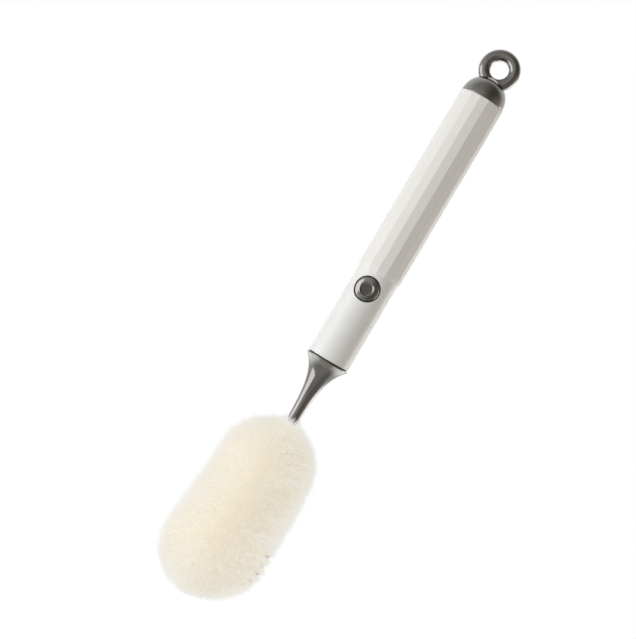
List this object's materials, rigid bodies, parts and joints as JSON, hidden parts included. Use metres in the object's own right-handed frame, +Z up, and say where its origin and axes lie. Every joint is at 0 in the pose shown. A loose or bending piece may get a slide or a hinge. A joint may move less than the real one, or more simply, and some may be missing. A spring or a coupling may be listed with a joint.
{
  "type": "cup brush",
  "caption": "Long-handled cup brush: soft twisted-wire bristle head on a trumpet neck that pulls off at a push-button latch, faceted grip, domed cap and hang ring.",
  "frame": {"origin": "centre of the hang ring's hole, from which the brush hangs", "axes": "+Z up along the handle from the bristle tip to the ring, -Y the side that the button faces, +X to the right seen from that side"},
  "size_m": [0.0559, 0.0564, 0.3152],
  "materials": {
    "white_plastic": "satin",
    "gunmetal_plating": "gloss",
    "inner_plastic": "matte",
    "black_rubber": "matte",
    "spring_steel": "satin",
    "cream_bristle": "matte"
  },
  "bodies": {
    "handle": {"handle_shell": "white_plastic", "socket_sleeve": "inner_plastic", "latch_clip": "spring_steel", "end_cap": "gunmetal_plating", "cap_seal": "black_rubber", "hang_ring": "gunmetal_plating", "ring_screw": "spring_steel"},
    "button": {"button_cap": "gunmetal_plating", "button_plunger": "inner_plastic"},
    "brush_head": {"head_plug": "inner_plastic", "joint_seal": "black_rubber", "neck": "gunmetal_plating", "wire_core": "spring_steel", "bristle_fill": "cream_bristle"}
  },
  "joints": [
    {"name": "button_press", "type": "slide", "parent": "handle", "child": "button", "axis": [0, 1, 0], "range_m": [0, 0.0016], "stiffness_N_per_m": 3000, "springref_m": -0.0005, "deforming": ["latch_clip"]},
    {"name": "head_release", "type": "slide", "parent": "handle", "child": "brush_head", "axis": [0, 0, -1], "range_m": [0, 0.058], "deforming": ["latch_clip"]}
  ]
}
